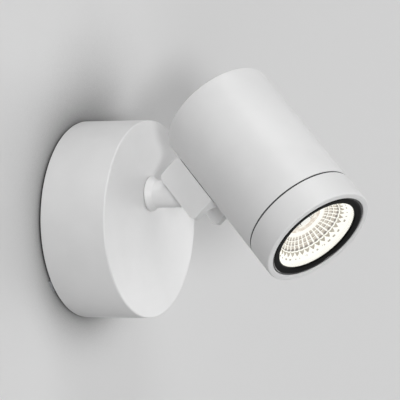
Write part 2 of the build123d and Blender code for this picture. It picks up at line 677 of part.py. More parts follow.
# ------------------------------------------------------------------ lamp pieces, on the beam axis
def make_head_housing():
    """One-piece lamp body: closed rear, step for the heat sink, thin spigot for the bezel."""
    floor = HEAD_REAR + HEAD_REAR_WALL
    shell = turned([
        (0, HEAD_REAR), (HEAD_RADIUS - HEAD_REAR_EDGE, HEAD_REAR), (HEAD_RADIUS, HEAD_REAR + HEAD_REAR_EDGE),
        (HEAD_RADIUS, housing_front), (spigot_outer, housing_front), (spigot_outer, spigot_front - 0.4),
        (spigot_outer - 0.4, spigot_front), (spigot_inner, spigot_front), (spigot_inner, sink_back - SNUG),
        (head_bore, sink_back - SNUG), (head_bore, floor + 1.5), (head_bore - 1.5, floor), (0, floor)])
    shell = shell - Pos(0, head_drop, 0) * rod(pocket_radius, 15 - head_drop, 0)
    for x, z in screw_places():
        shell = shell - Pos(0, head_drop, 0) * rod(BLOCK_SCREW_RADIUS + 3 * SNUG, 15 - head_drop, 0, x, z)
    return shell


def make_seam_seal():
    """Rubber ring in the seam between housing and bezel."""
    return ring(HEAD_RADIUS - 1.0, spigot_outer + SNUG, housing_front + SNUG, bezel_back - SNUG)


def make_front_bezel():
    """Screwed-on front ring with a rounded lip."""
    body = turned([
        (HEAD_RADIUS, HEAD_FRONT), (HEAD_RADIUS, bezel_back), (bezel_bore, bezel_back),
        (bezel_bore, lip_back), (bezel_opening, lip_back), (bezel_opening, HEAD_FRONT)])
    front = body.edges().group_by(Axis.Z)[-1]
    return fillet(front, BEZEL_EDGE / 2)


def make_lens_ring():
    """Black baffle ring in the mouth of the lamp."""
    bead_low = ring_front - RING_BEAD_DEPTH
    return turned([
        (ring_inner, ring_back), (stack_radius, ring_back), (stack_radius, ring_back + RING_FLANGE),
        (ring_outer, ring_back + RING_FLANGE), (ring_outer, ring_front),
        (ring_bead + RING_BEAD_WIDTH / 2, ring_front), (ring_bead, bead_low),
        (ring_bead - RING_BEAD_WIDTH / 2, ring_front), (ring_inner + 0.5, ring_front),
        (ring_inner, ring_front - 0.5)])


def make_front_glass():
    glass = disc(stack_radius, glass_back, glass_front)
    return chamfer(glass.edges(), 0.25)


def make_glass_seal():
    return ring(stack_radius, stack_radius - SEAL_WIDTH, seal_back, seal_back + SEAL_THICK)


def facet_ring(radius, height):
    """One ring of the fluted bowl, a closed polygon with a side for each flute."""
    return Pos(0, 0, height) * RegularPolygon(radius, REFLECTOR_FLUTES)


def make_reflector():
    """Bright bowl: rings of flat facets, one column of them to each flute."""
    heights = [rim_front - depth for depth in REFLECTOR_DEPTHS]
    back = 0.6 * REFLECTOR_WALL
    outer = [(0, rim_front), (facet_radii[0] + REFLECTOR_WALL, rim_front)]
    outer += [(facet_radii[0] + REFLECTOR_WALL, flange_front), (stack_radius, flange_front)]
    outer += [(stack_radius, flange_back), (facet_radii[1] + 1.4 * REFLECTOR_WALL, flange_back)]
    outer += [(radius + REFLECTOR_WALL, height - back) for radius, height in zip(facet_radii, heights)][2:-1]
    outer += [(facet_radii[-1] + REFLECTOR_WALL, reflector_floor), (0, reflector_floor)]
    bowl = turned(outer)
    for upper in range(len(heights) - 1):
        top = facet_ring(facet_radii[upper], heights[upper] + (1 if upper == 0 else 0))
        low = facet_ring(facet_radii[upper + 1], heights[upper + 1])
        bowl = bowl - loft([low.face(), top.face()], ruled=True)
    return bowl - disc(facet_radii[-1] - 0.4, reflector_floor - 1, heights[-1] + 0.5)


def make_led_board():
    board = disc(BOARD_RADIUS, board_front - BOARD_THICK, board_front)
    for x in (-BOARD_SCREW_OUT, BOARD_SCREW_OUT):
        board = board - disc(BOARD_SCREW_RADIUS + SNUG, 0, HEAD_FRONT, x)
    return board - disc(head_cable_radius + 0.4, 0, HEAD_FRONT, 0, head_drop - cable_lane)


def make_led_chip():
    return disc(CHIP_RADIUS, board_front + SNUG, board_front + SNUG + CHIP_THICK)


def make_led_lens():
    """Domed lens over the light source."""
    base = board_front + 2 * SNUG + CHIP_THICK
    sphere_radius = (DOME_RADIUS ** 2 + DOME_HEIGHT ** 2) / (2 * DOME_HEIGHT)
    dome = Pos(0, 0, base + DOME_HEIGHT - sphere_radius) * Sphere(sphere_radius)
    return dome & disc(DOME_RADIUS + 1, base, base + DOME_HEIGHT + 1)


def make_board_screws():
    screws = []
    for x in (-BOARD_SCREW_OUT, BOARD_SCREW_OUT):
        screws.append(pan_screw(BOARD_SCREW_RADIUS, BOARD_SCREW_HEAD, BOARD_SCREW_HEIGHT,
                                sink_front - 4, board_front + SNUG, x))
    return Compound(children=screws)


def make_heat_sink():
    """Finned disc seated on the housing's step."""
    tips = sink_back - SINK_FIN_LENGTH
    sink = disc(spigot_inner - SNUG, sink_back, sink_front)
    for place in range(SINK_FINS):
        x = SINK_FIN_PITCH * (place - (SINK_FINS - 1) / 2)
        fin = block(x - SINK_FIN / 2, x + SINK_FIN / 2, -head_bore, head_bore, tips, sink_back + 1)
        sink = sink + (fin & disc(head_bore - 3, tips - 1, sink_back + 1))
    lane = head_drop - cable_lane
    sink = sink - block(-8, 8, lane - 5, head_bore, tips - 1, sink_back)
    sink = sink - disc(SINK_NOTCH, sink_back - 1, sink_front + 1, 0, lane)
    for x in (-BOARD_SCREW_OUT, BOARD_SCREW_OUT):
        sink = sink - disc(BOARD_SCREW_RADIUS + SNUG, sink_front - 4.5, sink_front + 1, x)
    return sink


# ------------------------------------------------------------------ everything, node by node
def at(plane, shape):
    return plane.location * shape


wall_stem = Plane(origin=(0, 0, STEM_UP), x_dir=(1, 0, 0), z_dir=(0, -1, 0))

nodes = {
    "wall_plate": at(wall, make_wall_plate()),
    "wall_gasket": at(wall, make_wall_gasket()),
    "base_cover": at(wall, make_base_cover()),
    "lock_screws": at(wall, make_lock_screws()),
    "cable_grommet": at(wall, make_cable_grommet()),
    "driver_case": at(wall, make_driver_case()),
    "driver_screws": at(wall, make_driver_screws()),
    "terminal_block": at(wall, make_terminal_block()),
    "terminal_screws": at(wall, make_terminal_screws()),
    "earth_screw": at(wall, make_earth_screw()),
    "earth_tag": at(wall, make_earth_tag()),
    "earth_lead": at(wall, make_earth_lead()),
    "live_lead": at(wall, make_supply_lead(terminal_poles()[0])),
    "neutral_lead": at(wall, make_supply_lead(terminal_poles()[1])),
    "base_cable": at(wall, make_base_cable()),
    "stop_pin": at(wall, make_stop_pin()),
    "stem_bush": at(wall_stem, make_stem_bush()),
    "stem_tube": at(stem, make_stem_tube()),
    "stem_seal": at(stem, make_stem_seal()),
    "thrust_washer": at(stem, make_thrust_washer()),
    "stop_washer": at(stem, make_stop_washer()),
    "spring_washer": at(stem, make_spring_washer()),
    "stem_nut": at(stem, make_stem_nut()),
    "swivel_ball": at(stem, make_swivel_ball()),
    "stem_cable": at(stem, make_stem_cable()),
    "knuckle_block": at(knuckle, make_knuckle_block()),
    "ball_seat": at(knuckle, make_ball_seat()),
    "seat_spring": at(knuckle, make_seat_spring()),
    "clamp_plate": at(knuckle, make_clamp_plate()),
    "block_screws": at(knuckle, make_block_screws()),
    "head_cable": at(knuckle, make_head_cable()),
    "head_housing": at(lamp, make_head_housing()),
    "seam_seal": at(lamp, make_seam_seal()),
    "front_bezel": at(lamp, make_front_bezel()),
    "lens_ring": at(lamp, make_lens_ring()),
    "front_glass": at(lamp, make_front_glass()),
    "glass_seal": at(lamp, make_glass_seal()),
    "reflector": at(lamp, make_reflector()),
    "led_board": at(lamp, make_led_board()),
    "led_chip": at(lamp, make_led_chip()),
    "led_lens": at(lamp, make_led_lens()),
    "board_screws": at(lamp, make_board_screws()),
    "heat_sink": at(lamp, make_heat_sink()),
}

os.makedirs("parts", exist_ok=True)
for name, shape in nodes.items():
    export_step(shape, os.path.join("parts", name + ".step"))
print("pivot", [round(value, 3) for value in pivot])
print("tilt axis", [round(value, 5) for value in stem_right])
print("beam", [round(value, 5) for value in beam])
print("knuckle back", [round(value, 5) for value in knuckle.y_dir])
print(len(nodes), "nodes")
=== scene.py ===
"""Looks of the pivoting wall spotlight, built round its fixed frame. Metres throughout."""

import json
import math

import bmesh
import bpy
from bpy.props import FloatProperty, FloatVectorProperty, IntProperty, PointerProperty
from mathutils import Matrix, Vector


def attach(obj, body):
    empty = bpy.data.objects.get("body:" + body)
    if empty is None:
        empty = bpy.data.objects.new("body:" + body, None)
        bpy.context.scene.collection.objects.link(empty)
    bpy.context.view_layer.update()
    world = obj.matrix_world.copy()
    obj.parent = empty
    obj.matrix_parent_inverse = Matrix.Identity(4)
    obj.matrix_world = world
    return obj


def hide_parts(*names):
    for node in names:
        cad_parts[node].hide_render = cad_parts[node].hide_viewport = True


bl_info = {
    "name": "Pivoting wall spotlight",
    "version": (1, 0, 0),
    "blender": (4, 5, 0),
    "location": "3D View > Sidebar > Spotlight",
    "description": "Builds the looks of a wall spotlight with a swivel stem and a ball knuckle",
    "category": "Add Mesh",
}

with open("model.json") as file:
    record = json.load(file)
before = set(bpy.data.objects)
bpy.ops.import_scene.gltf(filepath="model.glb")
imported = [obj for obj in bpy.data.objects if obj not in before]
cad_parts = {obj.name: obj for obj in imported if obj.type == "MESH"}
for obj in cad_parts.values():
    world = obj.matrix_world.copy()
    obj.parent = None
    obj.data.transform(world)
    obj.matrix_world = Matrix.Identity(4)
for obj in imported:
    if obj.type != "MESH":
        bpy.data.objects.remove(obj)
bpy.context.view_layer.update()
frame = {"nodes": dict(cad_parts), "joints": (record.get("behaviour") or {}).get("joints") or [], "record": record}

# ------------------------------------------------------------------ frames of the moving pieces
MM = 0.001
REST_TILT = math.radians(46.35)  # lamp's axis, down from straight out of the wall
REST_ROLL = math.radians(11.0)  # lamp's side swing in the ball
HEAD_DROP = 39.5 * MM  # from the ball's centre to the lamp's axis
joints = {joint["name"]: joint for joint in frame["joints"]}
pivot = Vector(joints["tilt"]["pos_m"])


def placed(origin, x_axis, z_axis):
    """The matrix of a local frame from its origin, x axis and z axis."""
    x_axis, z_axis = x_axis.normalized(), z_axis.normalized()
    y_axis = z_axis.cross(x_axis)
    matrix = Matrix((x_axis, y_axis, z_axis)).transposed().to_4x4()
    matrix.translation = origin
    return matrix


out = Vector((0, -1, 0))
stem_right = Vector(joints["tilt"]["axis"]).normalized()
stem_up = out.cross(stem_right)
beam = out * math.cos(REST_TILT) - stem_up * math.sin(REST_TILT)
side = -stem_right * math.cos(REST_ROLL) + beam.cross(-stem_right) * math.sin(REST_ROLL)
wall_frame = placed(Vector((0, 0, 0)), Vector((1, 0, 0)), out)
stem_frame = placed(Vector((0, 0, joints["pan"]["pos_m"][2])), stem_right, out)
knuckle_frame = placed(pivot, side, beam)
lamp_frame = placed(pivot - knuckle_frame.col[1].xyz * HEAD_DROP, side, beam)


# ------------------------------------------------------------------ sizes and colours a user may change
def length(name, description, default):
    """A size, its default in millimetres."""
    return FloatProperty(name=name, description=description, default=default * MM, min=0.0,
                         unit="LENGTH", subtype="DISTANCE", precision=5)


def colour(name, description, default):
    return FloatVectorProperty(name=name, description=description, default=default, size=3,
                               min=0.0, max=1.0, subtype="COLOR")


def strength(name, description, default):
    """The strength of a light, 1 for a plain one."""
    return FloatProperty(name=name, description=description, default=default, min=0.0, subtype="FACTOR",
                         soft_max=2.0)


class BaseSizes(bpy.types.PropertyGroup):
    radius: length("Radius", "Outer radius of the round base", 55.0)
    front: length("Front", "Front face of the base, out of the wall", 40.5)
    standoff: length("Shadow gap", "Gap between the cover's rim and the wall", 1.2)
    edge: length("Front edge", "Rounding of the front edge", 0.9)
    wall: length("Wall", "Thickness of the cover's side", 2.2)
    face: length("Face", "Thickness of the cover's front", 3.0)
    boss: length("Boss", "Radius of the boss round the stem's bush", 13.0)
    boss_depth: length("Boss depth", "How far the boss reaches behind the face", 5.5)
    bush: length("Bush hole", "Radius of the hole for the bush", 8.5)


class StemSizes(bpy.types.PropertyGroup):
    radius: length("Radius", "Radius of the stem", 7.6)
    collar: length("Collar", "Radius of the flared collar", 9.75)
    collar_edge: length("Collar edge", "Height of the collar's straight edge", 0.6)
    flare: length("Flare", "Height of the flare above the collar", 3.1)
    seat: length("Seat", "Collar's seat, out of the wall", 40.95)
    spigot: length("Spigot", "Radius of the part inside the base", 6.9)
    tail: length("Tail", "Tail end, out of the wall", 21.0)
    bore: length("Bore", "Radius of the cable bore", 3.3)
    ball: length("Ball", "Radius of the swivel ball", 10.5)


class KnuckleSizes(bpy.types.PropertyGroup):
    width: length("Width", "Width of the block", 26.1)
    length: length("Length", "Length of the block along the lamp", 34.6)
    back: length("Back", "Rear face, from the ball's centre", 6.65)
    corner: length("Corner", "Rounding of the rear corners", 3.0)
    groove: length("Groove", "Radius of the groove", 9.3)
    groove_up: length("Groove middle", "Middle of the groove's floor, from the ball's centre", 2.8)
    edge: length("Edge", "Small rounding of the sharp edges", 0.28)
    clearance: length("Clearance", "Gap between the ball and its pocket", 0.05)
    saddle: length("Saddle gap", "Shadow gap between the block and the lamp body", 0.3)


class LampSizes(bpy.types.PropertyGroup):
    radius: length("Radius", "Outer radius of the lamp", 32.35)
    wall: length("Wall", "Thickness of the housing", 3.8)
    rear: length("Rear", "How far the rear end lies behind the ball's centre", 25.4)
    rear_wall: length("Rear wall", "Thickness of the rear wall", 3.0)
    rear_edge: length("Rear edge", "Rounding of the rear edge", 1.0)
    shoulder: length("Shoulder", "Step inside the housing that the heat sink meets", 49.35)
    seam: length("Seam", "Rear side of the seam between housing and bezel", 56.6)
    bezel_back: length("Bezel back", "Front side of that seam", 57.6)
    spigot: length("Spigot", "Outer radius of the spigot inside the bezel", 30.5)
    spigot_front: length("Spigot front", "Front end of the spigot", 68.5)
    front: length("Front", "Front end of the bezel", 74.1)
    bezel_bore: length("Bezel bore", "Inner radius of the bezel", 30.6)
    opening: length("Opening", "Radius of the bezel's mouth", 28.9)
    lip: length("Lip", "Thickness of the bezel's lip", 1.1)
    ring_front: length("Ring front", "Front of the black ring", 73.5)
    ring_back: length("Ring back", "Back of the black ring", 72.1)
    ring_inner: length("Ring mouth", "Inner radius of the black ring", 24.0)
    ring_outer: length("Ring rim", "Outer radius of the black ring", 28.8)
    flange: length("Flange", "Outer radius of the ring's and the reflector's flanges", 30.2)
    rim: length("Reflector rim", "Front of the reflector", 69.95)
    depth: length("Reflector depth", "Depth of the bowl", 12.1)
    throat: length("Throat", "Radius of the bowl's hole", 7.2)
    flutes: IntProperty(name="Flutes", description="Facet columns round the bowl", default=36, min=12)


class SpotlightColours(bpy.types.PropertyGroup):
    coat: colour("Coat", "White powder coat", (0.80, 0.80, 0.80))
    black: colour("Black", "Black ring and lacquer", (0.005, 0.005, 0.005))
    rubber: colour("Rubber", "Seals and grommet", (0.02, 0.02, 0.021))
    # glow is the colour of the reflector's painted glow
    glow: colour("Glow", "Light on the reflector", (1.0, 0.97, 0.89))
    wall: colour("Wall", "Wall behind the light", (0.76, 0.76, 0.76))


class StageSettings(bpy.types.PropertyGroup):
    ambient: strength("Ambient", "Strength of the even room light", 0.07)
    brightness: strength("Brightness", "Strength of the soft lights", 1.0)


# ------------------------------------------------------------------ shader expressions
class Wire:
    """A node's output, so shader maths reads as a Python expression."""

    def __init__(self, finish, socket):
        self.finish = finish
        self.socket = socket

    def math(self, operation, *others):
        return self.finish.math(operation, self, *others)

    def __add__(self, other):
        return self.finish.math("ADD", self, other)

    def __radd__(self, other):
        return self.finish.math("ADD", other, self)

    def __sub__(self, other):
        return self.finish.math("SUBTRACT", self, other)

    def __rsub__(self, other):
        return self.finish.math("SUBTRACT", other, self)

    def __mul__(self, other):
        return self.finish.math("MULTIPLY", self, other)

    def __rmul__(self, other):
        return self.finish.math("MULTIPLY", other, self)

    def __mod__(self, other):
        return self.finish.math("FLOORED_MODULO", self, other)

    def __rmod__(self, other):
        return self.finish.math("FLOORED_MODULO", other, self)

    def step(self, low, high):
        """0 below low, 1 above high, smooth between."""
        sockets = {0: self, 1: low, 2: high, 3: 0.0, 4: 1.0}
        return self.finish.node("ShaderNodeMapRange", {"interpolation_type": "SMOOTHSTEP"}, sockets)


class Finish:
    """One material, or the world, while it is made. Constants go on the shader's own sockets."""

    def __init__(self, name, kind="materials", shader="Principled BSDF", **constants):
        self.owner = getattr(bpy.data, kind).new(name)
        self.owner.use_nodes = True
        self.tree = self.owner.node_tree
        self.shader = self.tree.nodes[shader]
        for socket, value in constants.items():
            self.shader.inputs[socket.replace("_", " ")].default_value = value

    def node(self, kind, settings=None, sockets=None, output=0):
        """A node of any kind: its settings first, then the values or wires of its sockets."""
        made = self.tree.nodes.new(kind)
        for key, value in (settings or {}).items():
            setattr(made, key, value)
        for key, value in (sockets or {}).items():
            self.plug(made.inputs[key], value)
        return Wire(self, made.outputs[output])

    def plug(self, socket, value):
        if isinstance(value, Wire):
            self.tree.links.new(value.socket, socket)
        elif socket.type == "RGBA" and len(value) == 3:
            socket.default_value = (*value, 1.0)
        else:
            socket.default_value = value

    def math(self, operation, *values):
        return self.node("ShaderNodeMath", {"operation": operation}, dict(enumerate(values)))

    def feed(self, **sockets):
        """Puts values or wires on the shader's sockets."""
        for socket, value in sockets.items():
            self.plug(self.shader.inputs[socket.replace("_", " ")], value)
        return self.owner

    def place(self):
        return self.node("ShaderNodeTexCoord", output="Object")

    def noise(self, scale, detail=2.0, stretch=None):
        """Noise in the piece's own space, drawn out where stretch is small."""
        where = self.place()
        if stretch:
            where = self.node("ShaderNodeVectorMath", {"operation": "MULTIPLY"}, {0: where, 1: stretch})
        return self.node("ShaderNodeTexNoise", None, {"Vector": where, "Scale": scale, "Detail": detail})

    def blend(self, factor, first, second):
        sockets = {"Factor": factor, 6: first, 7: second}
        return self.node("ShaderNodeMix", {"data_type": "RGBA"}, sockets, output=2)

    def bump(self, height, strength, distance):
        sockets = {"Height": height, "Strength": strength, "Distance": distance}
        return self.node("ShaderNodeBump", None, sockets)

    def axes(self):
        """The local x, y and z as wires."""
        parts = self.node("ShaderNodeSeparateXYZ", None, {0: self.place()}).socket.node
        return [Wire(self, parts.outputs[place]) for place in range(3)]

    def across(self):
        """The distance from the piece's own axis, in metres."""
        x, y, _ = self.axes()
        return (x * x + y * y).math("SQRT")

    def seen(self):
        """1 for the rays that show the background, 0 for those that only carry its light."""
        ray = self.node("ShaderNodeLightPath").socket.node
        camera, glossy, glass = (Wire(self, ray.outputs["Is " + kind + " Ray"])
                                 for kind in ("Camera", "Glossy", "Transmission"))
        return camera.math("MAXIMUM", glossy).math("MAXIMUM", glass)

    def surface(self, factor, first, second):
        """Mixes two shaders into the output."""
        mixed = self.node("ShaderNodeMixShader", None, {0: factor, 1: first, 2: second})
        output = next(node for node in self.tree.nodes if node.name.endswith("Output"))
        self.plug(output.inputs["Surface"], mixed)
        return self.owner


def shade(rgb, factor):
    """The colour made darker or lighter."""
    return tuple(min(1.0, channel * factor) for channel in rgb)


def powder_coat(name, rgb):
    """Fine matte powder coat: orange peel, faint mottling, uneven sheen."""
    finish = Finish(name, IOR=1.45)
    cloud = finish.noise(38.0, 3.0)
    peel = finish.noise(1500.0, 2.0)
    speck = finish.noise(5200.0, 1.0)
    tone = finish.blend(cloud.step(0.3, 0.7), shade(rgb, 0.975), shade(rgb, 1.015))
    grain = peel * 0.75 + speck * 0.25
    return finish.feed(Base_Color=tone, Roughness=0.4 + cloud * 0.08 + peel * 0.06,
                       Normal=finish.bump(grain, 0.18, 0.00006))


def lacquer(name, rgb, rim):
    """Black lacquer with faint turning rings, polished on the bead inside the ring's rim."""
    finish = Finish(name, Coat_Roughness=0.14, Specular_IOR_Level=0.03)
    radius = finish.across()
    rings = (radius * 9000.0).math("SINE")
    dust = finish.noise(900.0, 2.0)
    bead = radius.step(rim - 1.2 * MM, rim - 0.9 * MM)
    return finish.feed(Base_Color=finish.blend(dust.step(0.55, 0.8), rgb, shade(rgb, 1.8)),
                       Roughness=0.3 + dust * 0.12, Coat_Weight=bead,
                       Normal=finish.bump(rings, 0.05, 0.00001))


def rubber(name, rgb):
    """Dull rubber with a fine grain and a pale bloom."""
    finish = Finish(name)
    grain = finish.noise(2600.0, 3.0)
    bloom = finish.noise(120.0, 2.0)
    return finish.feed(Base_Color=finish.blend(bloom, rgb, shade(rgb, 2.6)), Roughness=0.72 + bloom * 0.2,
                       Normal=finish.bump(grain, 0.3, 0.00005))


def moulded(name, rgb):
    """Satin moulded plastic with a spark-eroded grain."""
    finish = Finish(name)
    grain = finish.noise(3200.0, 2.0)
    flow = finish.noise(45.0, 3.0, (1.0, 1.0, 0.3))
    return finish.feed(Base_Color=finish.blend(flow, shade(rgb, 0.93), shade(rgb, 1.04)),
                       Roughness=0.42 + grain * 0.16, Normal=finish.bump(grain, 0.2, 0.00004))


def plated(name, rgb, low, high):
    """Bare or plated metal with drawn lines and small stains."""
    finish = Finish(name, Metallic=1.0)
    lines = finish.noise(2200.0, 3.0, (1.0, 1.0, 0.05))
    stain = finish.noise(160.0, 3.0)
    tone = finish.blend(stain.step(0.35, 0.75), shade(rgb, 0.82), shade(rgb, 1.05))
    return finish.feed(Base_Color=tone, Roughness=low + lines * (high - low),
                       Normal=finish.bump(lines, 0.15, 0.00004))


def insulation(name, rgb, stripe=None):
    """Wire insulation, with a second colour along it where the real one has it."""
    finish = Finish(name)
    grain = finish.noise(1400.0, 2.0)
    tone = finish.blend(grain, shade(rgb, 0.85), shade(rgb, 1.12))
    if stripe:
        x, y, z = finish.axes()
        band = ((x + y + z) * 900.0).math("SINE").step(-0.1, 0.1)
        tone = finish.blend(band, tone, stripe)
    return finish.feed(Base_Color=tone, Roughness=0.35 + grain * 0.15)


def clear_glass(name):
    """Clear glass with a trace of haze."""
    finish = Finish(name, Transmission_Weight=1.0, IOR=1.45)
    haze = finish.noise(90.0, 4.0)
    return finish.feed(Base_Color=finish.blend(haze, (0.97, 0.985, 0.98), (0.99, 1.0, 0.995)),
                       Roughness=haze.step(0.55, 0.9) * 0.03)


def painted_glow_reflector(name, glow, sizes):
    """Metallised bowl whose lit look is a painted glow: bright ribs and points over grey-beige cells, ring by
    ring, all painted reflection.
    """
    finish = Finish(name, Metallic=1.0, Emission_Strength=1.18)
    x, y, _ = finish.axes()
    radius = finish.across() * (1 / MM)
    turn = y.math("ARCTAN2", x) * (sizes.flutes / (2 * math.pi)) + 100.0  # 1 for each flute, never negative
    middle = (turn % 1.0 - 0.5).math("ABSOLUTE")
    shifted = ((turn + 0.5) % 1.0 - 0.5).math("ABSOLUTE")
    fine = ((turn * 2.0 + radius * 0.6) % 1.0 - 0.5).math("ABSOLUTE")
    sparkle = finish.noise(800.0, 2.0)
    patches = finish.noise(330.0, 2.0)

    def band(low, high, soft=0.12):
        """1 between two radii in millimetres."""
        return radius.step(low - soft, low + soft) * (1.0 - radius.step(high - soft, high + soft))

    cells_low, cells_high, row_depth = 12.1, 18.25, 2.05
    wedge_tip, wedge_slope = 21.35, 0.225
    row = ((radius - cells_low) * (1 / row_depth)) % 1.0
    cells = band(cells_low, cells_high) * (1.0 - middle.step(0.3, 0.4))
    cell_ends = cells * row.step(0.7, 0.86) * patches.step(0.3, 0.55)
    cell_starts = cells * (1.0 - row.step(0.1, 0.22))
    dashes = (1.0 - shifted.step(0.16, 0.28)) * band(21.6, 22.3, 0.2) * patches.step(0.38, 0.5)
    wedges = ((wedge_tip - radius) * wedge_slope - middle).step(-0.04, 0.03) * band(19.15, 21.1, 0.1)
    shelf = band(18.8, 19.1, 0.1)
    line = band(18.2, 18.75) * (0.5 + (1.0 - middle.step(0.3, 0.42)) * 0.5)
    core = band(7.4, 10.3) * (0.3 + fine.step(0.1, 0.35) * 0.7)
    throat = 1.0 - radius.step(7.2, 7.5)

    # painted reflection: the lamp's light on the facets is painted into the emission colour, from the bright glare
    # to the dark cell ends
    bright = shade(glow, 0.96)
    tone = bright
    for mask, rgb in ((core * patches.step(0.25, 0.6), (0.52, 0.40, 0.30)),
                      (cells * (0.55 + sparkle * 0.6), (0.39, 0.325, 0.25)),
                      (cell_starts, bright),
                      (cell_ends, (0.14, 0.11, 0.075)),
                      (wedges * (0.6 + patches * 0.6), (0.27, 0.225, 0.15)),
                      (shelf, bright),
                      (line, (0.10, 0.075, 0.05)),
                      (dashes, (0.22, 0.19, 0.13)),
                      (throat, (0.05, 0.045, 0.04))):
        tone = finish.blend(mask, tone, rgb)
    return finish.feed(Base_Color=finish.blend(sparkle * cells, (0.03, 0.029, 0.027), (0.06, 0.057, 0.053)),
                       Roughness=0.22 + sparkle * 0.06, Emission_Color=tone)


def phosphor(name):
    """The light source's yellow face, lit."""
    finish = Finish(name, Emission_Strength=2.0)
    grain = finish.noise(1800.0, 2.0)
    return finish.feed(Base_Color=finish.blend(grain, (0.9, 0.72, 0.25), (0.95, 0.82, 0.4)),
                       Roughness=0.5 + grain * 0.2,
                       Emission_Color=finish.blend(grain, (1.0, 0.86, 0.6), (1.0, 0.95, 0.8)))


def painted_glow_dome(name):
    """The small lens over the light source: a painted glow, with painted dark rings where it bends the light."""
    finish = Finish(name, Emission_Strength=1.0, IOR=1.45)
    radius = finish.across() * (1 / MM)
    swirl = finish.noise(420.0, 2.0)
    wide_ring, thin_ring = 4.3, 3.3
    # painted shade: dark rings painted into the glow where the lens bends the light
    wide = 1.0 - (radius - wide_ring).math("ABSOLUTE").step(0.2, 0.45)
    thin = 1.0 - (radius - thin_ring).math("ABSOLUTE").step(0.08, 0.25)
    dark = wide.math("MAXIMUM", thin)
    tone = finish.blend(dark, (0.9, 0.88, 0.84), (0.03, 0.028, 0.025))
    return finish.feed(Base_Color=finish.blend(swirl, (0.03, 0.03, 0.03), (0.05, 0.05, 0.05)),
                       Roughness=0.08 + swirl * 0.1, Emission_Color=tone)


def wall_paint(name, rgb):
    """Smooth painted wall, with painted shade in its corners from an occlusion node, and seen from the room side
    only.

    The light that it throws back on to the lamp is held down, as in the photograph.
    """
    finish = Finish(name, Specular_IOR_Level=0.1)
    cloud = finish.noise(3.0, 2.0)
    roller = finish.noise(260.0, 2.0)
    # painted shade: an occlusion node darkens the wall's colour next to the base and under the lamp
    corner = finish.node("ShaderNodeAmbientOcclusion", {"samples": 16}, {"Distance": 0.12}, output=1)
    tone = finish.blend(cloud, shade(rgb, 0.995), shade(rgb, 1.005))
    painted = finish.blend(corner.step(0.43, 0.93), shade(rgb, 0.29), tone)
    finish.feed(Base_Color=finish.blend(finish.seen(), shade(rgb, 0.60), painted),
                Roughness=0.85 + roller * 0.1)
    behind = finish.node("ShaderNodeNewGeometry", output="Backfacing")
    clear = finish.node("ShaderNodeBsdfTransparent")
    return finish.surface(behind, Wire(finish, finish.shader.outputs[0]), clear)


materials = {}


def make_materials(colours, lamp):
    """Every finish, under the record's slot names."""
    materials.update({
        "white_paint": powder_coat("white_powder_coat", tuple(colours.coat)),
        "black_paint": lacquer("black_lacquer", tuple(colours.black), lamp.ring_outer),
        "black_rubber": rubber("black_rubber", tuple(colours.rubber)),
        "black_plastic": moulded("black_plastic", (0.03, 0.03, 0.03)),
        "white_plastic": moulded("white_plastic", (0.74, 0.74, 0.72)),
        "zinc_plated_steel": plated("zinc_plated_steel", (0.60, 0.61, 0.63), 0.25, 0.45),
        "stainless_steel": plated("stainless_steel", (0.62, 0.62, 0.61), 0.2, 0.35),
        "bare_aluminium": plated("bare_aluminium", (0.72, 0.73, 0.74), 0.3, 0.5),
        "brass": plated("brass", (0.72, 0.52, 0.22), 0.25, 0.4),
        "bright_metal": painted_glow_reflector("painted_glow_reflector", tuple(colours.glow), lamp),
        "clear_glass": clear_glass("clear_glass"),
        "phosphor": phosphor("phosphor"),
        "black_cable": insulation("black_cable", (0.03, 0.03, 0.03)),
        "brown_wire": insulation("brown_wire", (0.14, 0.055, 0.02)),
        "blue_wire": insulation("blue_wire", (0.02, 0.09, 0.36)),
        "green_wire": insulation("green_wire", (0.05, 0.28, 0.03), (0.75, 0.62, 0.05)),
    })


# ------------------------------------------------------------------ mesh code
def rounded(points, radii, steps=5):
    """A closed outline of (radius, height) points with each corner rounded by its own radius."""
    outline = []
    for place, (point, radius) in enumerate(zip(points, radii)):
        if radius <= 0:
            outline.append(point)
            continue
        here = Vector(point)
        back = (Vector(points[place - 1]) - here).normalized()
        on = (Vector(points[(place + 1) % len(points)]) - here).normalized()
        half = back.angle(on) / 2
        middle = here + (back + on).normalized() * (radius / math.sin(half))
        start = here + back * (radius / math.tan(half)) - middle
        end = here + on * (radius / math.tan(half)) - middle
        for step in range(steps + 1):
            share = step / steps
            arm = (start * (1 - share) + end * share).normalized() * radius
            outline.append(tuple(middle + arm))
    return outline


def new_piece(name, made):
    """An object in the scene from a bmesh, which is used up."""
    mesh = bpy.data.meshes.new(name)
    made.to_mesh(mesh)
    made.free()
    piece = bpy.data.objects.new(name, mesh)
    bpy.context.scene.collection.objects.link(piece)
    return piece


def finished(name, made, matrix, body, slot, replaced=(), angle=32.0, bevel=0.0):
    """Turns a bmesh into a shaded piece that rides on its body."""
    bmesh.ops.remove_doubles(made, verts=made.verts, dist=1e-7)
    bmesh.ops.recalc_face_normals(made, faces=made.faces)
    piece = new_piece(name, made)
    if bevel:
        edge = piece.modifiers.new("small rounding", "BEVEL")
        edge.width, edge.segments, edge.limit_method = bevel, 3, "ANGLE"
        edge.angle_limit = math.radians(40)
        settle(piece)
    smooth(piece, angle)
    piece.matrix_world = matrix
    piece.data.materials.clear()
    piece.data.materials.append(materials[slot])
    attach(piece, body)
    if replaced:
        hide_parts(*replaced)
    return piece


def smooth(piece, angle):
    """Smooth shading, with edges sharper than the angle in degrees kept."""
    piece.data.shade_smooth()
    piece.data.set_sharp_from_angle(angle=math.radians(angle))


def settle(piece):
    """Applies the piece's modifiers to its mesh."""
    bpy.context.view_layer.update()
    graph = bpy.context.evaluated_depsgraph_get()
    mesh = bpy.data.meshes.new_from_object(piece.evaluated_get(graph))
    old = piece.data
    piece.modifiers.clear()
    piece.data = mesh
    mesh.name = old.name
    bpy.data.meshes.remove(old)


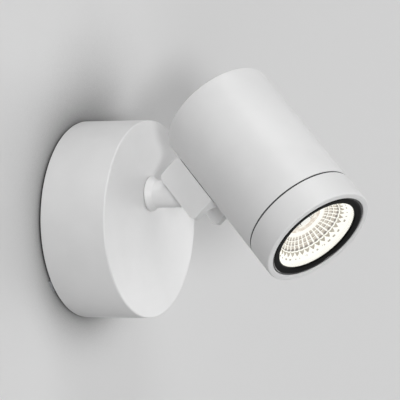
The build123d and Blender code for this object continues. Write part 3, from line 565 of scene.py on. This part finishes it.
def ring(made, radius, height, steps, centre=(0.0, 0.0)):
    """A level ring of vertices, or one vertex repeated where it has no radius."""
    if radius < 1e-7:
        return [made.verts.new((*centre, height))] * steps
    turns = [2 * math.pi * step / steps for step in range(steps)]
    return [made.verts.new((centre[0] + radius * math.cos(turn), centre[1] + radius * math.sin(turn), height))
            for turn in turns]


def bridge(made, first, second):
    """Faces between two closed rows of vertices."""
    for place in range(len(first)):
        on = (place + 1) % len(first)
        corners = list(dict.fromkeys((first[place], first[on], second[on], second[place])))
        if len(corners) > 2:
            made.faces.new(corners)


def lathe(outline, steps=192, centre=(0.0, 0.0)):
    """Turns a closed outline of (radius, height) points about local Z."""
    made = bmesh.new()
    rings = [ring(made, radius, height, steps, centre) for radius, height in outline]
    for place, row in enumerate(rings):
        bridge(made, row, rings[(place + 1) % len(rings)])
    return made


def ball_cutter(matrix, radius):
    """A ball for a boolean cut."""
    made = bmesh.new()
    bmesh.ops.create_uvsphere(made, u_segments=96, v_segments=48, radius=radius)
    tool = new_piece("tool", made)
    tool.matrix_world = matrix
    return tool


def rod_cutter(matrix, radius, depth, steps=96):
    """A rod along its local Z for a boolean cut."""
    made = bmesh.new()
    bmesh.ops.create_cone(made, cap_ends=True, segments=steps, radius1=radius, radius2=radius, depth=depth)
    tool = new_piece("tool", made)
    tool.matrix_world = matrix
    return tool


def cut(piece, tools, angle=32.0):
    """Cuts the tools out of the piece and removes them."""
    for tool in tools:
        boolean = piece.modifiers.new("cut", "BOOLEAN")
        boolean.operation, boolean.solver, boolean.object = "DIFFERENCE", "EXACT", tool
    settle(piece)
    smooth(piece, angle)
    for tool in tools:
        mesh = tool.data
        bpy.data.objects.remove(tool)
        bpy.data.meshes.remove(mesh)
    if not piece.data.polygons:
        raise RuntimeError(piece.name + " was cut away")
    return piece


def box_into(made, low, high, matrix):
    """Adds a box to a bmesh."""
    corners = [made.verts.new(matrix @ Vector((x, y, z)))
               for x in (low[0], high[0]) for y in (low[1], high[1]) for z in (low[2], high[2])]
    for face in ((0, 1, 3, 2), (4, 6, 7, 5), (0, 4, 5, 1), (2, 3, 7, 6), (0, 2, 6, 4), (1, 5, 7, 3)):
        made.faces.new([corners[place] for place in face])


# ------------------------------------------------------------------ pieces
QUARTER = Matrix.Rotation(math.pi / 2, 4, "X")  # lays a rod along local Y


def build_base_cover(sizes, stem_up):
    """Cup of the wall base: turned shell, bush hole and two grub-screw holes."""
    radius, front, gap = sizes.radius, sizes.front, sizes.standoff
    inner, ceiling = radius - sizes.wall, front - sizes.face
    points = [(0.0, front), (radius, front), (radius, gap), (inner, gap), (inner, ceiling), (0.0, ceiling)]
    radii = [0, sizes.edge, 0.25 * MM, 0.25 * MM, 1.0 * MM, 0]
    shell = finished("base_shell", lathe(rounded(points, radii), 256), wall_frame, "base", "white_paint",
                     ["base_cover"])
    tools = [rod_cutter(wall_frame @ Matrix.Translation((0, stem_up, front)), sizes.bush, 20 * MM, 128)]
    for end in (1, -1):
        where = wall_frame @ Matrix.Translation((0, end * radius, 6 * MM)) @ QUARTER
        tools.append(rod_cutter(where, 1.55 * MM, 12 * MM, 32))
    return cut(shell, tools)


def build_base_ribs(sizes, stem_up):
    """Boss round the stem's bush, with four ribs that run out to the cup's side."""
    inner, ceiling = sizes.radius - sizes.wall, sizes.front - sizes.face
    half, depth, short, long = 0.9 * MM, 4 * MM, 38 * MM, 60 * MM
    low, high = ceiling - sizes.boss_depth, ceiling + 1 * MM
    made = lathe([(sizes.boss, high), (sizes.boss, low), (sizes.bush, low), (sizes.bush, high)],
                 128, (0.0, stem_up))
    for place in range(4):
        turn = Matrix.Translation((0, stem_up, 0)) @ Matrix.Rotation(math.radians(45 + 90 * place), 4, "Z")
        reach = short if place < 2 else long  # the upper two are nearer to the cup's side
        box_into(made, (sizes.boss, -half, ceiling - depth), (reach, half, ceiling), turn)
    for vertex in made.verts:
        limit = (inner + 0.2 * MM) / max(math.hypot(vertex.co.x, vertex.co.y), 1e-9)
        if limit < 1:
            vertex.co.x *= limit
            vertex.co.y *= limit
    return finished("base_ribs", made, wall_frame, "base", "white_paint", bevel=0.3 * MM)


def build_stem(sizes, pivot_out):
    """Stem with its flared collar, and the grooved spigot inside the base."""
    edge = sizes.seat + sizes.collar_edge
    cone = edge + sizes.flare
    neck = pivot_out - math.sqrt(sizes.ball ** 2 - sizes.radius ** 2) - 0.05 * MM
    groove_back, groove_front = 36.95 * MM, 38.05 * MM
    groove, socket, socket_depth = sizes.spigot - 1 * MM, 5.6 * MM, 5 * MM
    points = [(sizes.bore, sizes.tail), (sizes.spigot, sizes.tail), (sizes.spigot, groove_back),
              (groove, groove_back), (groove, groove_front), (sizes.spigot, groove_front),
              (sizes.spigot, sizes.seat), (sizes.collar, sizes.seat), (sizes.collar, edge),
              (sizes.radius, cone), (sizes.radius, neck), (socket, neck), (socket, neck + socket_depth),
              (sizes.bore, neck + socket_depth)]
    radii = [0, 0.5 * MM, 0, 0, 0, 0, 0, 0.25 * MM, 0.25 * MM, 0.35 * MM, 0, 0, 0, 0]
    return finished("swivel_stem", lathe(rounded(points, radii, 8), 160), stem_frame, "stem", "white_paint",
                    ["stem_tube"])


def block_outline(sizes, top, saddle, floor_steps=28, saddle_steps=20):
    """Cross-section of the knuckle block, its cheeks cut off at the given height."""
    half, g, up = sizes.width / 2, sizes.groove, sizes.groove_up
    points = [(-half, top), (-g, top), (-g, up)]
    for step in range(1, floor_steps):
        turn = math.pi + math.pi * step / floor_steps
        points.append((g * math.cos(turn), up + g * math.sin(turn)))
    points += [(g, up), (g, top), (half, top)]
    for step in range(saddle_steps + 1):
        x = half - 2 * half * step / saddle_steps
        points.append((x, math.sqrt(saddle ** 2 - x ** 2) - HEAD_DROP))
    return points


def build_knuckle(sizes, lamp, ball):
    """Grooved block: slices along the lamp, rounded rear corners, saddle and ball pocket."""
    end, corner = sizes.length / 2, sizes.corner
    slices = []
    for step in range(9):
        turn = math.radians(90 * step / 8)
        slices.append((end - corner + corner * math.cos(turn), sizes.back - corner + corner * math.sin(turn)))
    slices += [(-along, top) for along, top in reversed(slices)]
    made = bmesh.new()
    rows = []
    for along, top in slices:
        outline = block_outline(sizes, top, lamp.radius + sizes.saddle)
        rows.append([made.verts.new((x, y, along)) for x, y in outline])
    for first, second in zip(rows, rows[1:]):
        bridge(made, first, second)
    made.faces.new(list(reversed(rows[0])))
    made.faces.new(rows[-1])
    block = finished("grooved_block", made, knuckle_frame, "lamp", "white_paint", ["knuckle_block"],
                     bevel=sizes.edge)
    return cut(block, [ball_cutter(knuckle_frame, ball + sizes.clearance)])


def build_housing(sizes, ball):
    """Lamp body: closed rear with a soft edge, spigot at the front, hole for the ball."""
    radius, rear, bore = sizes.radius, -sizes.rear, sizes.radius - sizes.wall
    spigot_bore = sizes.spigot - 1.5 * MM
    floor = rear + sizes.rear_wall
    points = [(0.0, rear), (radius, rear), (radius, sizes.seam), (sizes.spigot, sizes.seam),
              (sizes.spigot, sizes.spigot_front), (spigot_bore, sizes.spigot_front),
              (spigot_bore, sizes.shoulder), (bore, sizes.shoulder), (bore, floor), (0.0, floor)]
    radii = [0, sizes.rear_edge, 0.1 * MM, 0, 0.3 * MM, 0, 0, 0, 1.5 * MM, 0]
    body = finished("lamp_body", lathe(rounded(points, radii, 7), 256), lamp_frame, "lamp", "white_paint",
                    ["head_housing"])
    hole = knuckle_frame @ Matrix.Translation((0, -12 * MM, 0)) @ QUARTER
    return cut(body, [rod_cutter(hole, ball + 0.05 * MM, 16 * MM)])


def build_bezel(sizes):
    """Front ring of the lamp, with a turned-in lip round the mouth."""
    points = [(sizes.radius, sizes.bezel_back), (sizes.radius, sizes.front), (sizes.opening, sizes.front),
              (sizes.opening, sizes.front - sizes.lip), (sizes.bezel_bore, sizes.front - sizes.lip),
              (sizes.bezel_bore, sizes.bezel_back)]
    radii = [0.1 * MM, 0.85 * MM, 0.45 * MM, 0, 0, 0]
    return finished("bezel_ring", lathe(rounded(points, radii, 8), 256), lamp_frame, "lamp", "white_paint",
                    ["front_bezel"])


def build_seam_ring(sizes):
    """Black seal that nearly fills the seam between body and bezel."""
    back, front = sizes.seam + 0.04 * MM, sizes.bezel_back - 0.04 * MM
    inner, rim = sizes.spigot + 0.05 * MM, sizes.radius - 0.2 * MM
    points = [(inner, back), (rim, back), (rim, front), (inner, front)]
    outline = rounded(points, [0, 0.15 * MM, 0.15 * MM, 0])
    return finished("seam_ring", lathe(outline, 192), lamp_frame, "lamp", "black_rubber", ["seam_seal"])


def build_lens_ring(sizes):
    """Black ring in the mouth: flange, raised rim, groove, low bead and a slope to the inner edge."""
    back, front, outer, inner = sizes.ring_back, sizes.ring_front, sizes.ring_outer, sizes.ring_inner
    flange_front, groove = back + 0.8 * MM, front - 0.35 * MM
    points = [(inner, back), (sizes.flange, back), (sizes.flange, flange_front), (outer, flange_front),
              (outer, front), (outer - 0.8 * MM, front), (outer - 0.95 * MM, groove),
              (outer - 1.4 * MM, groove), (outer - 1.7 * MM, front - 0.1 * MM), (inner + 0.4 * MM, groove),
              (inner, front - 0.75 * MM)]
    radii = [0, 0, 0, 0, 0.38 * MM, 0.38 * MM, 0, 0, 0.15 * MM, 0.3 * MM, 0]
    return finished("mouth_ring", lathe(rounded(points, radii, 5), 256), lamp_frame, "lamp", "black_paint",
                    ["lens_ring"])


# in millimetres: each facet ring by outer radius and pillow height, the back of the bowl by radius and depth
FACET_RINGS = ((24.8, 0.10), (22.9, 0.24), (20.9, 0.34), (18.6, 0.22), (17.0, 0.20), (15.4, 0.18),
               (13.8, 0.16), (12.2, 0.0), (10.2, 0.10), (8.7, 0.08))
BOWL_BACK = ((25.6, 1.4), (21.6, 5.95), (15.0, 10.45), (8.4, 12.75))


def bowl_depth(radius, sizes, mouth):
    """Depth of the parabolic bowl at a radius."""
    share = (mouth ** 2 - radius ** 2) / (mouth ** 2 - sizes.throat ** 2)
    return sizes.depth * share


def build_reflector(sizes):
    """Faceted bowl: each cell of each ring is a small pillow, neighbouring rings half a cell apart."""
    mouth = FACET_RINGS[0][0] * MM
    edges = [radius * MM for radius, _ in FACET_RINGS] + [sizes.throat]
    fine = 4  # faces along each side of a cell
    made = bmesh.new()
    for place, (_, pillow) in enumerate(FACET_RINGS):
        outer, inner = edges[place], edges[place + 1]
        rows = []
        for down in range(fine + 1):
            v = down / fine
            radius = outer + (inner - outer) * v
            row = []
            for around in range(sizes.flutes * fine):
                u = (around % fine) / fine
                lift = pillow * MM * 16 * u * (1 - u) * v * (1 - v)
                turn = 2 * math.pi * (around / fine + 0.5 * (place % 2)) / sizes.flutes
                height = sizes.rim - bowl_depth(radius, sizes, mouth) + lift
                row.append(made.verts.new(((radius - lift) * math.cos(turn), (radius - lift) * math.sin(turn),
                                           height)))
            rows.append(row)
        for first, second in zip(rows, rows[1:]):
            bridge(made, second, first)
    back = [(mouth, 0.0), (sizes.flange, 0.6 * MM), (sizes.flange, 1.4 * MM)]
    back += [(radius * MM, depth * MM) for radius, depth in BOWL_BACK] + [(sizes.throat, 12.65 * MM)]
    skin = [ring(made, radius, sizes.rim - depth, sizes.flutes * fine) for radius, depth in back]
    for first, second in zip(skin, skin[1:]):
        bridge(made, second, first)
    return finished("faceted_bowl", made, lamp_frame, "lamp", "bright_metal", ["reflector"], angle=22.0)


def build_light_source():
    """Domed lens with a moulded foot over the chip."""
    low, radius = 57.95 * MM, 5.0 * MM
    rise, foot, steps = 3.6 * MM, 0.25 * MM, 14
    ball = (radius ** 2 + rise ** 2) / (2 * rise)
    outline = [(0.0, low), (radius, low), (radius, low + foot)]
    for step in range(1, steps + 1):
        reach = radius * (1 - step / steps)
        outline.append((reach, low + rise - ball + math.sqrt(ball ** 2 - reach ** 2)))
    piece = finished("source_lens", lathe(outline, 96), lamp_frame, "lamp", "clear_glass", ["led_lens"], 40.0)
    piece.data.materials[0] = painted_glow_dome("painted_glow_dome")
    return piece


def dress_cad_nodes():
    """Gives every CAD node that still shows its slot's finish."""
    slots = {row["node"]: row["material_slot"] for row in frame["record"]["subparts"]}
    for name, node in frame["nodes"].items():
        node.data.materials.clear()
        node.data.materials.append(materials[slots[name]])


# ------------------------------------------------------------------ stage
# the camera that puts the base's, the lamp's and the seam's circles where the photograph has them
CAMERA_TARGET = Vector((-0.019307, -0.080191, 0.010303))
CAMERA_AZIMUTH = math.radians(-63.978)
CAMERA_ELEVATION = math.radians(-0.516)
CAMERA_DISTANCE = 1.3555
CAMERA_FOCAL = 6.2554  # focal length over the frame's width


def look_from(azimuth, elevation):
    """The direction towards a viewer or a lamp, from angles in radians."""
    return Vector((math.sin(azimuth) * math.cos(elevation), -math.cos(azimuth) * math.cos(elevation),
                   math.sin(elevation)))


def aimed(name, data, place, back):
    """Puts a camera or a lamp in the scene, looking away from the back direction."""
    item = bpy.data.objects.new(name, data)
    bpy.context.scene.collection.objects.link(item)
    item.location = place
    item.rotation_mode = "QUATERNION"
    item.rotation_quaternion = (-back).to_track_quat("-Z", "Y")
    return item


def build_camera():
    """Camera at the photograph's viewing angle."""
    data = bpy.data.cameras.new("camera")
    data.sensor_width = 36.0
    data.lens = data.sensor_width * CAMERA_FOCAL
    data.clip_start, data.clip_end = 0.05, 50.0
    back = look_from(CAMERA_AZIMUTH, CAMERA_ELEVATION)
    bpy.context.scene.camera = aimed("camera", data, CAMERA_TARGET + back * CAMERA_DISTANCE, back)


# name, azimuth, elevation, spread in degrees, share of the stage's brightness
SOFT_LIGHTS = (
    ("key", -51.0, -4.0, 12.0, 1.24),
    ("window", -60.0, 73.0, 35.0, 1.38),
    ("front", -8.0, -6.0, 40.0, 0.66),
    ("low", -60.0, -24.0, 30.0, 0.36),
    ("right", 35.0, 10.0, 40.0, 0.46),
    ("far_right", 70.0, -10.0, 25.0, 0.52),
)


def soft_light(name, azimuth, elevation, spread, strength):
    """A broad distant lamp from a direction in degrees."""
    data = bpy.data.lights.new(name, "SUN")
    data.angle, data.energy = math.radians(spread), strength
    back = look_from(math.radians(azimuth), math.radians(elevation))
    aimed(name, data, back, back)


def build_wall(rgb, hole):
    """Painted wall with a round opening behind the base, so the back can be looked at too."""
    made = bmesh.new()
    rings = [ring(made, radius, 0.0, 96) for radius in (hole, 0.3, 5.0)]
    for first, second in zip(rings, rings[1:]):
        bridge(made, second, first)
    wall = new_piece("room_wall", made)
    wall.matrix_world = wall_frame
    wall.data.materials.append(wall_paint("wall_paint", rgb))


def build_world(strength, pale):
    """Even room light, with the pale backdrop in every ray that shows the background."""
    room = Finish("room", "worlds", "Background", Color=(1.0, 1.0, 1.0, 1.0), Strength=strength)
    backdrop = room.node("ShaderNodeBackground", None, {"Color": pale})
    bpy.context.scene.world = room.surface(room.seen(), Wire(room, room.shader.outputs[0]), backdrop)


def build_stage(stage, colours, base):
    """Wall, even light, soft lights and camera."""
    bpy.context.scene.view_settings.view_transform = "Standard"
    build_wall(tuple(colours.wall), base.radius - 1.5 * MM)
    build_world(stage.ambient, tuple(colours.wall))
    for name, azimuth, elevation, spread, share in SOFT_LIGHTS:
        soft_light(name, azimuth, elevation, spread, share * stage.brightness)
    build_camera()


# ------------------------------------------------------------------ operators
class SPOTLIGHT_OT_finishes(bpy.types.Operator):
    """Make every finish and give the CAD nodes theirs"""
    bl_idname = "spotlight.finishes"
    bl_label = "Finishes"

    def execute(self, context):
        make_materials(context.scene.spotlight_colours, context.scene.spotlight_lamp)
        dress_cad_nodes()
        return {"FINISHED"}


class SPOTLIGHT_OT_base(bpy.types.Operator):
    """Build the cup of the wall base"""
    bl_idname = "spotlight.base"
    bl_label = "Wall base"

    def execute(self, context):
        build_base_cover(context.scene.spotlight_base, stem_frame.translation.z)
        build_base_ribs(context.scene.spotlight_base, stem_frame.translation.z)
        return {"FINISHED"}


class SPOTLIGHT_OT_stem(bpy.types.Operator):
    """Build the flared swivel stem"""
    bl_idname = "spotlight.stem"
    bl_label = "Swivel stem"

    def execute(self, context):
        build_stem(context.scene.spotlight_stem, -knuckle_frame.translation.y)
        return {"FINISHED"}


class SPOTLIGHT_OT_knuckle(bpy.types.Operator):
    """Build the grooved block that holds the ball"""
    bl_idname = "spotlight.knuckle"
    bl_label = "Knuckle block"

    def execute(self, context):
        scene = context.scene
        build_knuckle(scene.spotlight_knuckle, scene.spotlight_lamp, scene.spotlight_stem.ball)
        return {"FINISHED"}


class SPOTLIGHT_OT_lamp(bpy.types.Operator):
    """Build the lamp body, its bezel, the seal in the seam and the black mouth ring"""
    bl_idname = "spotlight.lamp"
    bl_label = "Lamp body"

    def execute(self, context):
        build_housing(context.scene.spotlight_lamp, context.scene.spotlight_stem.ball)
        build_bezel(context.scene.spotlight_lamp)
        build_seam_ring(context.scene.spotlight_lamp)
        build_lens_ring(context.scene.spotlight_lamp)
        return {"FINISHED"}


class SPOTLIGHT_OT_optics(bpy.types.Operator):
    """Build the faceted bowl and the light source's lens"""
    bl_idname = "spotlight.optics"
    bl_label = "Optics"

    def execute(self, context):
        build_reflector(context.scene.spotlight_lamp)
        build_light_source()
        return {"FINISHED"}


class SPOTLIGHT_OT_stage(bpy.types.Operator):
    """Set up the wall, the lights and the camera"""
    bl_idname = "spotlight.stage"
    bl_label = "Stage"

    def execute(self, context):
        scene = context.scene
        build_stage(scene.spotlight_stage, scene.spotlight_colours, scene.spotlight_base)
        return {"FINISHED"}


OPERATORS = (SPOTLIGHT_OT_finishes, SPOTLIGHT_OT_base, SPOTLIGHT_OT_stem, SPOTLIGHT_OT_knuckle,
             SPOTLIGHT_OT_lamp, SPOTLIGHT_OT_optics, SPOTLIGHT_OT_stage)
GROUPS = (("spotlight_base", BaseSizes), ("spotlight_stem", StemSizes), ("spotlight_knuckle", KnuckleSizes),
          ("spotlight_lamp", LampSizes), ("spotlight_colours", SpotlightColours),
          ("spotlight_stage", StageSettings))


class SPOTLIGHT_PT_panel(bpy.types.Panel):
    """Sizes, colours and build steps of the spotlight"""
    bl_label = "Wall spotlight"
    bl_space_type = "VIEW_3D"
    bl_region_type = "UI"
    bl_category = "Spotlight"

    def draw(self, context):
        for name, group in GROUPS:
            box = self.layout.box()
            box.label(text=name.split("_")[1].capitalize())
            for key in group.__annotations__:
                box.prop(getattr(context.scene, name), key)
        for operator in OPERATORS:
            self.layout.operator(operator.bl_idname)


def register():
    for name, group in GROUPS:
        bpy.utils.register_class(group)
        setattr(bpy.types.Scene, name, PointerProperty(type=group))
    for item in (*OPERATORS, SPOTLIGHT_PT_panel):
        bpy.utils.register_class(item)


def unregister():
    for item in reversed((*OPERATORS, SPOTLIGHT_PT_panel)):
        bpy.utils.unregister_class(item)
    for name, group in reversed(GROUPS):
        delattr(bpy.types.Scene, name)
        bpy.utils.unregister_class(group)


def main():
    register()
    for operator in OPERATORS:
        group, name = operator.bl_idname.split(".")
        getattr(getattr(bpy.ops, group), name)()


if __name__ == "__main__":
    main()
